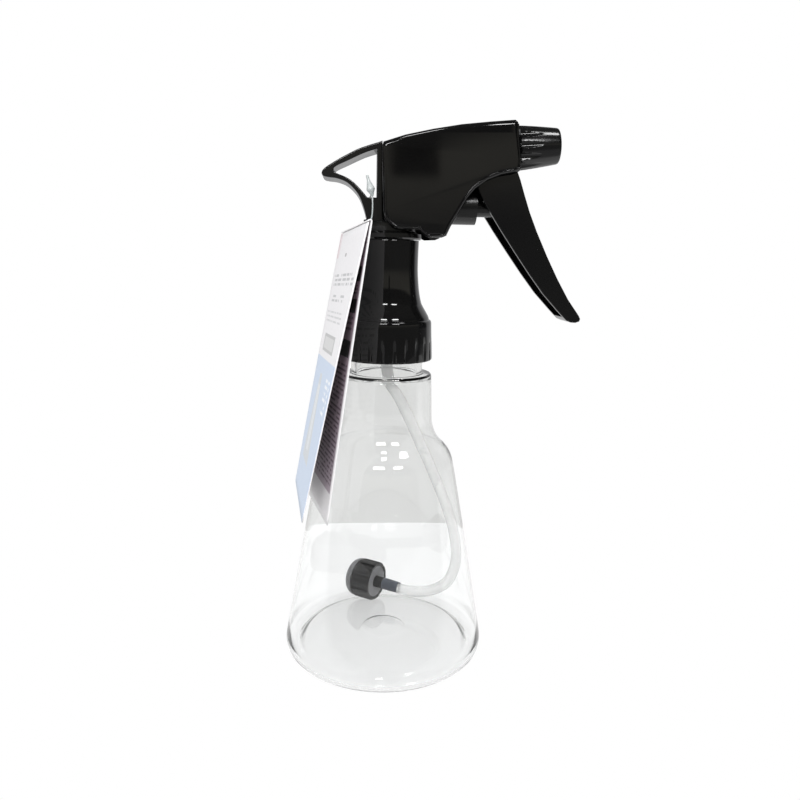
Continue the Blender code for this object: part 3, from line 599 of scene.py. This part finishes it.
NOZZLE_TILT = math.radians(4.3)
NOZZLE_ROOT = (46.8, 0.0, 190.3)
NOZZLE_FLUTES = 12
NOZZLE_PROFILE = [(0.5, 11.1), (3.3, 11.1), (3.6, 11.4), (3.9, 12.9), (4.2, 13.3), (5.5, 13.3)]
NOZZLE_PROFILE += [(5.95, 13.15), (6.15, 12.8), (6.22, 12.2)]
NOZZLE_REAR = [(7.5, 0.45), (7.58, -0.7), (7.5, -1.0), (7.3, -1.15), (5.1, -1.15)]
NOZZLE_REAR += [(5.1, 5.6), (0.5, 5.6)]
NOZZLE_STEPS = 24  # down its tapered side


def make_nozzle_cap():
    profile = list(NOZZLE_PROFILE)
    front_r, front_z = NOZZLE_PROFILE[-1]
    rear_r, rear_z = NOZZLE_REAR[0]
    for i in range(1, NOZZLE_STEPS):
        t = i / NOZZLE_STEPS
        bulge = 0.32 * t * (1 - t)
        profile.append((front_r + (rear_r - front_r) * t + bulge, front_z + (rear_z - front_z) * t))
    profile += NOZZLE_REAR

    def on_flute(r, z):
        return r > 6.0 and z < 10.0

    carve = fluted(NOZZLE_FLUTES, 0.0, 1.45, lambda z: 8.2 + 0.016 * z, on_flute)
    direction = (math.cos(NOZZLE_TILT), 0.0, math.sin(NOZZLE_TILT))
    shape = lathe(profile, NOZZLE_FLUTES * 24, True, aimed(NOZZLE_ROOT, direction), carve)
    nodes = ["nozzle_cap"]
    finish_mesh("nozzle_cap_shell", shape, BLACK_SATIN, "nozzle", 30, nodes, False)


make_screw_cap()
make_nozzle_cap()

# ---------------------------------------- raised lip round the shroud's sides

SHROUD_HALF = 12.5
LIP_R = 0.32
LIP_ROUTE = [
    (42.9, 196.0),
    (43.0, 192.0),
    (43.9, 185.4),
    (44.0, 182.2),
    (42.6, 181.3),
    (37.8, 180.4),
    (33.0, 178.5),
    (28.7, 175.5),
    (25.9, 171.9),
    (23.0, 167.1),
    (20.3, 162.5),
    (19.1, 159.8),
    (17.9, 159.1),
    (14.2, 158.9),
    (12.9, 159.5),
    (10.9, 161.2),
    (9.6, 161.7),
    (3.2, 161.7),
    (1.7, 162.2),
    (0.2, 163.4),
    (-0.9, 165.0),
    (-1.4, 167.0),
    (-1.9, 187.0),
]


def make_shroud_lips():
    for side, sign in (("near", -1), ("far", 1)):
        path = [(x, sign * (SHROUD_HALF - 0.06), z) for x, z in LIP_ROUTE]
        obj = tube_along("shroud_lip_" + side, smooth_profile(path, 4), LIP_R, 4, BLACK)
        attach(obj, "mister")


make_shroud_lips()

# ---------------------------------------- hanging loop

LOOP_HALF = 6.5
LOOP_TOP = [(-2.6, 190.6), (-3.9, 190.1), (-7.4, 189.0), (-11.0, 187.7)]
LOOP_TOP += [(-14.6, 185.9), (-18.1, 184.0)]
LOOP_TIP = [(-22.2, 181.4), (-23.5, 179.8), (-23.1, 178.6), (-21.4, 178.1), (-18.1, 177.7)]
LOOP_UNDER = [(-14.4, 176.2), (-10.9, 172.6), (-9.0, 168.3), (-7.9, 164.3)]
LOOP_HOLE = [
    (-4.4, 187.9),
    (-8.8, 186.4),
    (-14.4, 183.8),
    (-18.4, 181.9),
    (-19.4, 180.8),
    (-18.4, 179.6),
    (-15.1, 178.3),
    (-12.5, 176.7),
    (-9.8, 174.1),
    (-7.7, 171.7),
]


def plate(name, outlines, half, edge):
    """Outlines of (x, z), with holes, made a rounded plate of this half width along Y."""
    curve = bpy.data.curves.new(name, "CURVE")
    curve.dimensions = "2D"
    curve.fill_mode = "BOTH"
    curve.extrude = (half - edge) * MM
    curve.bevel_depth = edge * MM
    curve.bevel_resolution = 4
    curve.offset = -edge * MM
    for outline in outlines:
        spline = curve.splines.new("POLY")
        spline.points.add(len(outline) - 1)
        for point, (x, z) in zip(spline.points, outline):
            point.co = (x * MM, z * MM, 0.0, 1.0)
        spline.use_cyclic_u = True
    made = bpy.data.objects.new(name, curve)
    bpy.context.scene.collection.objects.link(made)
    bpy.context.view_layer.update()
    graph = bpy.context.evaluated_depsgraph_get()
    mesh = bpy.data.meshes.new_from_object(made.evaluated_get(graph))
    bpy.data.objects.remove(made, do_unlink=True)
    shape = bmesh.new()
    shape.from_mesh(mesh)
    bmesh.ops.remove_doubles(shape, verts=shape.verts, dist=1e-6)
    shape.normal_update()
    inner = [e for e in shape.edges if all(abs(f.normal.z) > 0.9999 for f in e.link_faces)]
    bmesh.ops.dissolve_limit(shape, angle_limit=math.radians(0.5), verts=[], edges=inner)
    upright_turn = Matrix.Rotation(math.pi / 2, 4, "X")
    bmesh.ops.transform(shape, matrix=upright() @ upright_turn, verts=shape.verts)
    return shape


def flat_points(points, steps):
    return [(p[0], p[1]) for p in smooth_profile(points, steps)]


def make_hang_loop():
    ledge = [(-8.9, 164.1), (-8.9, 163.3), (-2.2, 163.3)]
    outer = flat_points(LOOP_TOP + LOOP_TIP + LOOP_UNDER, 5) + ledge
    hole = flat_points(LOOP_HOLE, 5) + [(-4.4, 171.7)]
    shape = plate("hang_loop_arch", [outer, hole], LOOP_HALF, 0.45)
    finish_mesh("hang_loop_arch", shape, BLACK_SATIN, "mister", 40, ["hang_loop"])


make_hang_loop()

# ---------------------------------------- sinker

SINKER_FACE = (-2.3, 22.9, 13.3)
SINKER_DIRECTION = Vector((0.8412, -0.5408, 0.0))
SINKER_R = 8.25
SINKER_LENGTH = 8.8
SINKER_GRIPS = 10
SCREEN_DOME = [(0.3, 13.4), (2.8, 13.3), (5.3, 12.75), (6.9, 11.7), (7.8, 10.3), (8.0, 9.2)]
SCREEN_REAR = [(8.0, 8.9), (6.1, 8.9), (6.1, 7.2), (0.0, 7.2)]
FACE_PLATE = [(2.6, 0.35), (6.35, 0.3), (7.3, 0.12), (7.3, 0.5), (2.6, 0.6)]
STEM = [(0.8, 10.5), (1.5, 10.5), (1.75, 10.2), (1.75, 6.9), (1.55, 6.6), (1.75, 6.3)]
STEM += [(1.75, 3.6), (2.2, 3.4), (2.4, 3.1), (2.4, -6.4), (2.2, -6.6), (0.8, -6.6)]
END_SLEEVE = [(1.8, 3.6), (2.3, 3.6), (2.42, 3.75), (2.4, 7.4), (2.3, 9.6), (2.22, 11.0)]
END_SLEEVE += [(1.8, 11.0)]


def make_sinker():
    """A ribbed sleeve with a flush face, a domed screen at its far end, and the hose's stem."""
    inward, outward = aimed(SINKER_FACE, -SINKER_DIRECTION), aimed(SINKER_FACE, SINKER_DIRECTION)
    end = SINKER_LENGTH
    r = SINKER_R
    profile = [(6.4, end), (r - 0.7, end), (r - 0.3, end - 0.15), (r - 0.08, end - 0.5)]
    profile += [(r, z) for z in (end - 1.0, 7.5, 5.0, 2.5, 0.8)]
    profile += [(r - 0.1, 0.35), (r - 0.35, 0.08), (r - 0.6, 0.0), (r - 0.9, 0.02), (6.4, 0.3)]
    carve = fluted(SINKER_GRIPS, 0.5, 1.5, lambda z: r + 0.8, lambda radius, z: radius > r - 0.75)
    sleeve = lathe(profile, SINKER_GRIPS * 24, True, inward, carve)
    dome = [(0.0, 13.42)] + [tuple(p) for p in smooth_profile(SCREEN_DOME, 5)] + SCREEN_REAR
    screen = lathe(dome, 96, False, inward)
    plate_face = lathe(FACE_PLATE, 96, True, inward)
    stem = lathe(STEM, 64, True, outward)
    end_sleeve = lathe(END_SLEEVE, 64, True, outward)
    black = "black_plastic"
    rows = (
        ("sinker_ribbed_sleeve", sleeve, SINKER, ["sinker_sleeve"], black, False),
        # The screen and the face plate are black plastic coloured with a painted reflection.
        ("sinker_domed_screen", screen, SINKER_PAINTED_REFLECTION, ["sinker_screen"], black, True),
        ("sinker_face_plate", plate_face, SINKER_PAINTED_REFLECTION, [], black, False),
        ("sinker_hose_stem", stem, SINKER, ["sinker_stem"], black, False),
        ("hose_end_sleeve", end_sleeve, HOSE_END, [], "milky_tube", False),
    )
    for name, shape, look, nodes, slot, weighted in rows:
        finish_mesh(name, shape, look, "mister", 30, nodes, weighted)


make_sinker()

# ---------------------------------------- materials of the carried-over nodes

LOOKS = {
    "cap_retainer": BLACK,
    "valve_body": BLACK_INNER,
    "shroud": BLACK,
    "trigger": BLACK,
    "piston": BLACK_INNER,
    "nozzle_insert": BLACK_INNER,
    "sinker_weight": WEIGHT,
    "trigger_pin": STEEL,
    "inlet_ball": STEEL,
    "hose_adapter": WHITE,
    "neck_gasket": RUBBER,
    "piston_seal": RUBBER,
    "nozzle_seal": RUBBER,
    "outlet_valve": RUBBER,
}
SHARP_ANGLE = 32

for node, look in LOOKS.items():
    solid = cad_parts[node]
    solid.data.materials.clear()
    solid.data.materials.append(look)
    smooth_solid(solid, SHARP_ANGLE)

# ---------------------------------------- return spring

PUMP_Z = 169.6
SPRING_R = 3.5
SPRING_WIRE_R = 0.35
SPRING_TURNS = 6
SPRING_ENDS_X = (12.3, 23.7)  # of the wire's middle
SPRING_STEPS = 32  # in a turn
WIRE_SIDES = 10


def make_return_spring():
    """A fixed coil round the pump; the real spring shortens as the plunger goes back."""
    start, end = SPRING_ENDS_X
    along = Vector((1.0, 0.0, 0.0))
    count = SPRING_TURNS * SPRING_STEPS
    shape = bmesh.new()
    rings = []
    for i in range(count + 1):
        angle = 2 * math.pi * i / SPRING_STEPS
        out = Vector((0.0, math.cos(angle), math.sin(angle)))
        middle = place(start + (end - start) * i / count, 0, PUMP_Z) + out * SPRING_R * MM
        ring = []
        for k in range(WIRE_SIDES):
            turn = 2 * math.pi * k / WIRE_SIDES
            side = out * math.cos(turn) + along * math.sin(turn)
            ring.append(shape.verts.new(middle + side * SPRING_WIRE_R * MM))
        rings.append(ring)
    for before, after in zip(rings, rings[1:]):
        for k in range(WIRE_SIDES):
            n = (k + 1) % WIRE_SIDES
            shape.faces.new((before[k], before[n], after[n], after[k]))
    shape.faces.new(rings[0])
    shape.faces.new(rings[-1])
    nodes = ["return_spring"]
    coil = finish_mesh("pump_return_coil", shape, STEEL, "mister", 60, nodes, False)
    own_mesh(coil)


make_return_spring()

# ---------------------------------------- hose

HOSE_R = 2.2
HOSE_ROUTE = [
    (0.0, 0.0, 112.6),
    (0.4, 0.0, 109.0),
    (2.0, 0.0, 104.6),
    (5.4, 0.0, 98.6),
    (9.9, 0.0, 89.4),
    (14.9, 0.2, 78.2),
    (20.0, 0.6, 66.7),
    (24.3, 1.2, 56.2),
    (27.6, 2.0, 46.0),
    (29.3, 3.1, 36.6),
    (29.2, 4.6, 28.6),
    (26.6, 7.0, 20.8),
    (22.2, 9.9, 16.2),
    (17.2, 12.3, 13.8),
    (12.0, 14.6, 12.8),
    (6.78, 17.06, 12.8),
]


def make_hose():
    route = smooth_profile(HOSE_ROUTE, 3)
    obj = tube_along("dip_hose_tube", route, HOSE_R, 10, HOSE)
    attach(obj, "mister")
    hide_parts("dip_hose")


make_hose()

# ---------------------------------------- tag

TAG_YAW = math.radians(11.5)
TAG_FRONT_YAW = math.radians(8.0)
TAG_BACK_YAW = math.radians(14.0)
TAG_ROLL = math.radians(1.8)
TAG_MIDDLE = -4.0
TAG_HALF_WIDTH = 25.2
TAG_TOP_Z = 161.1
TAG_TOP_D = 12.9
TAG_BACK = (99.0, 28.8)
TAG_FRONT = (97.4, 33.75)
TAG_PAPER = 0.35
TAG_FOLD = 1.06
TAG_BOW = 0.35
TAG_COLUMNS = 24
TAG_ROWS = 40


def tag_point(distance, side, drop, yaw):
    """A point of the tag: how far out from the axis, along the crease and down from it."""
    out = Vector((-math.cos(TAG_YAW), -math.sin(TAG_YAW), 0.0))
    width = Vector((-math.sin(yaw), math.cos(yaw), 0.0))
    lean = math.sin(TAG_ROLL)
    height = TAG_TOP_Z - drop - side * lean
    return out * distance + width * (side - max(drop, 0.0) * lean) + Vector((0.0, 0.0, height))


def make_leaf(name, section, end_yaw, body, node, faces):
    """A card swept along the crease, with its flat coordinates and a printed face on each side."""
    shape = bmesh.new()
    flat = shape.loops.layers.uv.new("flat")
    grid = []
    end_drop = section[-1][1]
    for distance, drop in section:
        t = max(drop, 0.0) / end_drop
        yaw = TAG_YAW + (end_yaw - TAG_YAW) * t
        row = []
        for i in range(TAG_COLUMNS + 1):
            across = i / TAG_COLUMNS
            side = TAG_MIDDLE + TAG_HALF_WIDTH * (1.0 - 2.0 * across)
            bow = TAG_BOW * math.sin(math.pi * t) * (0.6 + 0.4 * math.sin(math.pi * across))
            at = place(*tag_point(distance + bow, side, drop, yaw))
            row.append((shape.verts.new(at), (across, t)))
        grid.append(row)
    for upper, lower in zip(grid, grid[1:]):
        for i in range(TAG_COLUMNS):
            corners = [upper[i], lower[i], lower[i + 1], upper[i + 1]]
            face = shape.faces.new([vertex for vertex, _ in corners])
            for loop, (_, coordinate) in zip(face.loops, corners):
                loop[flat].uv = coordinate
    mesh = bpy.data.meshes.new(name)
    shape.to_mesh(mesh)
    shape.free()
    mesh.shade_smooth()
    for material in faces:
        mesh.materials.append(material)
    obj = bpy.data.objects.new(name, mesh)
    bpy.context.scene.collection.objects.link(obj)
    solidify = obj.modifiers.new("Solidify", "SOLIDIFY")
    solidify.thickness = TAG_PAPER * MM
    solidify.offset = 0.0
    solidify.material_offset = 1
    solidify.material_offset_rim = 2
    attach(obj, body)
    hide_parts(node)


def leaf_section(start, first_drop, end):
    end_drop, end_distance = end
    section = []
    for i in range(TAG_ROWS + 1):
        t = i / TAG_ROWS
        distance = start + (end_distance - start) * t
        section.append((distance, first_drop + (end_drop - first_drop) * t))
    return section


def make_tag():
    reach = TAG_FOLD / 2
    crease = []
    for i in range(10):
        angle = math.pi * i / 10
        crease.append((TAG_TOP_D + reach * math.cos(angle), -reach * math.sin(angle)))
    edge, edge_colour = card_face("tag_edge", PAPER)
    edge.colour_from(edge_colour)
    back, front = back_print(), front_print()
    plain = plain_card("tag_plain_side")
    faces = [back, plain, edge.material]
    section = crease + leaf_section(TAG_TOP_D - reach, 0.0, TAG_BACK)
    make_leaf("tag_back_card", section, TAG_BACK_YAW, "tag", "tag_back_leaf", faces)
    section = leaf_section(TAG_TOP_D + reach, 0.3, TAG_FRONT)
    faces = [front, plain, edge.material]
    make_leaf("tag_front_card", section, TAG_FRONT_YAW, "tag_cover", "tag_front_leaf", faces)


make_tag()

TAG_HOLE_DROP = 0.35
STRING_R = 0.25
PIN_HEAD = (-6.0, -7.75, 172.3)
PIN_LEAN = (-0.27, 0.0, 0.963)
PIN_PROFILE = [(0.0, 6.9), (0.35, 6.85), (0.46, 6.6), (0.5, 5.4), (0.7, 4.5), (1.05, 3.4)]
PIN_PROFILE += [(1.4, 2.4), (1.45, 2.0), (1.25, 1.5), (0.9, 0.9), (0.6, 0.2), (0.4, -0.3)]
PIN_PROFILE += [(0.0, -0.4)]
STRING_DOWN = [(-5.95, -7.75, 172.2), (-5.85, -7.8, 169.5), (-5.9, -7.8, 166.8)]
STRING_DOWN += [(-6.2, -7.8, 164.6), (-7.4, -7.6, 162.4)]
STRING_UP = [
    (-8.0, 7.6, 163.0),
    (-7.0, 7.8, 165.6),
    (-6.8, 7.7, 169.0),
    (-6.8, 7.2, 171.8),
    (-6.7, 5.4, 172.8),
    (-6.4, 0.0, 172.9),
    (-6.2, -5.2, 172.9),
    (-6.1, -7.5, 173.1),
]


def make_fastener():
    """The fastener's head and its string, through the tag and the hanging loop, as two pieces."""
    inside, outside = TAG_TOP_D + 0.05, TAG_TOP_D - 1.7
    through = [(outside, 4.5), (outside + 0.3, 3.0), (inside - 0.5, 3.1), (inside, 2.1)]
    route = list(STRING_DOWN)
    route += [tag_point(out, -side, TAG_HOLE_DROP, TAG_YAW) for out, side in through]
    route += [tag_point(out, side, TAG_HOLE_DROP, TAG_YAW) for out, side in reversed(through)]
    route += STRING_UP
    points = smooth_profile(route, 4)
    string = tube_along("tag_fastener_string", points, STRING_R, 4, FASTENER)
    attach(string, "tag")
    side = [tuple(p) for p in smooth_profile(PIN_PROFILE[1:-1], 4)]
    profile = [PIN_PROFILE[0]] + side + [PIN_PROFILE[-1]]
    shape = lathe(profile, 48, False, aimed(PIN_HEAD, PIN_LEAN))
    finish_mesh("tag_fastener_head", shape, FASTENER, "tag", 40, ["tag_pin"])


make_fastener()

# ---------------------------------------- stage, light and camera


def make_stage():
    shape = bmesh.new()
    near, far, half = TABLE_FRONT_Y, TABLE_BACK_Y, TABLE_HALF_X
    corners = [(-half, near), (half, near), (half, far), (-half, far)]
    shape.faces.new([shape.verts.new(place(x, y, 0)) for x, y in corners])
    mesh = bpy.data.meshes.new("table_top")
    shape.to_mesh(mesh)
    shape.free()
    table = bpy.data.objects.new("table_top", mesh)
    look = Shader("table_white", (0.12, 0.12, 0.12), 0.6)
    look.main.inputs["Emission Color"].default_value = (1.0, 1.0, 1.0, 1.0)
    at = look.coordinates()
    # A painted shadow under the bottle and painted shade on its near side, in the glow seen through
    # the bottle; camera rays see plain white.
    offset = look.node("ShaderNodeVectorMath", operation="DISTANCE")
    look.link(at, offset.inputs[0])
    offset.inputs[1].default_value = place(0, 0, 0)
    shade_span = [r * MM for r in TABLE_SHADE_R]
    glow = look.ranged(offset.outputs["Value"], TABLE_SHADE * TABLE_GLOW, TABLE_GLOW, *shade_span)
    split = look.node("ShaderNodeSeparateXYZ")
    look.link(at, split.inputs[0])
    near_shade_span = [y * MM for y in TABLE_NEAR_SHADE_Y]
    painted_near_shade = look.ranged(split.outputs["Y"], TABLE_NEAR_SHADE, 1.0, *near_shade_span)
    glow = look.math("MULTIPLY", glow, painted_near_shade)
    look.link(glow, look.main.inputs["Emission Strength"])
    paper = look.node("ShaderNodeEmission")
    path = look.node("ShaderNodeLightPath")
    mixed = look.node("ShaderNodeMixShader")
    look.link(path.outputs["Is Camera Ray"], mixed.inputs[0])
    look.link(look.main.outputs[0], mixed.inputs[1])
    look.link(paper.outputs[0], mixed.inputs[2])
    look.link(mixed.outputs[0], look.tree.nodes["Material Output"].inputs["Surface"])
    mesh.materials.append(look.material)
    bpy.context.scene.collection.objects.link(table)


FRONT_LOW, FRONT_HIGH = (0.12, 0.12, 0.115), (0.39, 0.375, 0.325)
CARD_BLACK = (0.0, 0.0, 0.0)  # a dark card's reflection in the shroud
FRONT_TOP = (0.04, 0.04, 0.04)
WALL_DARK, WALL_BRIGHT = (0.04, 0.04, 0.045), (0.6, 0.6, 0.61)
BELOW_FRONT, BELOW_BACK = (0.15, 0.15, 0.15), (0.75, 0.75, 0.75)
CEILING = (0.07, 0.07, 0.07)
THROUGH_BOTTLE = (0.79, 0.79, 0.78)
ON_MATT = (1.15, 1.15, 1.15)  # what lights matt surfaces
TO_CAMERA = (1.0, 1.0, 1.0)


def make_world():
    """White to the camera, a dim room where it is reflected, and grey through the bottle."""
    world = bpy.data.worlds.new("studio")
    bpy.context.scene.world = world
    world.use_nodes = True
    tree = world.node_tree
    background = tree.nodes["Background"]

    def node(kind, **settings):
        made = tree.nodes.new(kind)
        for key, value in settings.items():
            setattr(made, key, value)
        return made

    def mixed(factor, first, second):
        made = node("ShaderNodeMix", data_type="RGBA")
        for index, value in zip(MIX_SOCKETS, (factor, first, second)):
            socket = made.inputs[index]
            if isinstance(value, tuple):
                socket.default_value = (*value, 1.0)
            else:
                tree.links.new(value, socket)
        return made.outputs[MIX_RESULT]

    coords = node("ShaderNodeTexCoord")
    split = node("ShaderNodeSeparateXYZ")
    tree.links.new(coords.outputs["Generated"], split.inputs[0])

    def ranged(source, low, high):
        made = node("ShaderNodeMapRange", interpolation_type="SMOOTHSTEP")
        made.inputs["From Min"].default_value = low
        made.inputs["From Max"].default_value = high
        tree.links.new(source, made.inputs["Value"])
        return made.outputs["Result"]

    def calculated(operation, first, second):
        made = node("ShaderNodeMath", operation=operation)
        for socket, value in zip(made.inputs, (first, second)):
            if isinstance(value, (int, float)):
                socket.default_value = value
            else:
                tree.links.new(value, socket)
        return made.outputs[0]

    x, y, z = (split.outputs[axis] for axis in "XYZ")
    front = mixed(ranged(z, 0.0, 0.14), FRONT_LOW, FRONT_HIGH)
    toward = calculated("MULTIPLY", y, -1.0)
    card_x = calculated("DIVIDE", x, toward)
    card_z = calculated("DIVIDE", z, toward)
    card = calculated("MULTIPLY", ranged(card_x, 0.022, 0.032), ranged(card_x, 0.106, 0.096))
    card = calculated("MULTIPLY", card, ranged(card_z, 0.122, 0.132))
    front = mixed(card, front, CARD_BLACK)
    front = mixed(ranged(z, 0.17, 0.22), front, FRONT_TOP)
    wall = mixed(ranged(y, -0.15, 0.05), front, WALL_DARK)
    wall = mixed(ranged(y, 0.42, 0.6), wall, WALL_BRIGHT)
    below = mixed(ranged(y, -0.1, 0.1), BELOW_FRONT, BELOW_BACK)
    room = mixed(ranged(z, 0.4, 0.7), wall, CEILING)
    room = mixed(ranged(z, -0.02, -0.15), room, below)
    path = node("ShaderNodeLightPath")
    through = calculated("GREATER_THAN", path.outputs["Transmission Depth"], 0.5)
    one_wall = calculated("LESS_THAN", path.outputs["Transmission Depth"], 2.5)
    aside = calculated("MULTIPLY", one_wall, calculated("GREATER_THAN", y, -0.6))
    onward = calculated("MAXIMUM", calculated("GREATER_THAN", y, -0.1), aside)
    through = calculated("MULTIPLY", through, onward)
    seen = mixed(through, room, THROUGH_BOTTLE)
    seen = mixed(path.outputs["Is Diffuse Ray"], seen, ON_MATT)
    seen = mixed(path.outputs["Is Camera Ray"], seen, TO_CAMERA)
    tree.links.new(seen, background.inputs["Color"])


def make_light(name, at, target, size, energy):
    light = bpy.data.lights.new(name, "AREA")
    light.shape = "RECTANGLE"
    light.size, light.size_y = (s * MM for s in size)
    light.energy = energy
    obj = bpy.data.objects.new(name, light)
    obj.location = place(*at)
    direction = place(*target) - obj.location
    obj.rotation_euler = direction.to_track_quat("-Z", "Y").to_euler()
    bpy.context.scene.collection.objects.link(obj)


def make_camera():
    forward = Vector(CAMERA_FORWARD).normalized()
    right = forward.cross(Vector((0, 0, 1))).normalized()
    up = right.cross(forward)
    turned_right = right * math.cos(CAMERA_ROLL) + up * math.sin(CAMERA_ROLL)
    turned_up = up * math.cos(CAMERA_ROLL) - right * math.sin(CAMERA_ROLL)
    camera = bpy.data.cameras.new("camera")
    camera.lens = CAMERA_LENS
    camera.sensor_width = CAMERA_SENSOR
    camera.clip_start = 0.01
    camera.clip_end = 20.0
    obj = bpy.data.objects.new("camera", camera)
    axes = Matrix((turned_right, turned_up, -forward)).transposed()
    obj.matrix_world = Matrix.Translation(place(*CAMERA_PLACE)) @ axes.to_4x4()
    bpy.context.scene.collection.objects.link(obj)
    bpy.context.scene.camera = obj


make_stage()
make_world()
make_light("window_left", (-117, -471, 453), (0, 0, 100), (190, 70), 1.1)
make_light("window_right", (182, -443, 453), (0, 0, 100), (155, 70), 0.9)
make_light("ceiling_left", (-42, -282, 748), (0, 0, 110), (90, 90), 0.45)
make_light("ceiling_right", (275, -140, 735), (0, 0, 110), (130, 110), 0.8)
make_camera()
bpy.context.scene.view_settings.view_transform = "Standard"
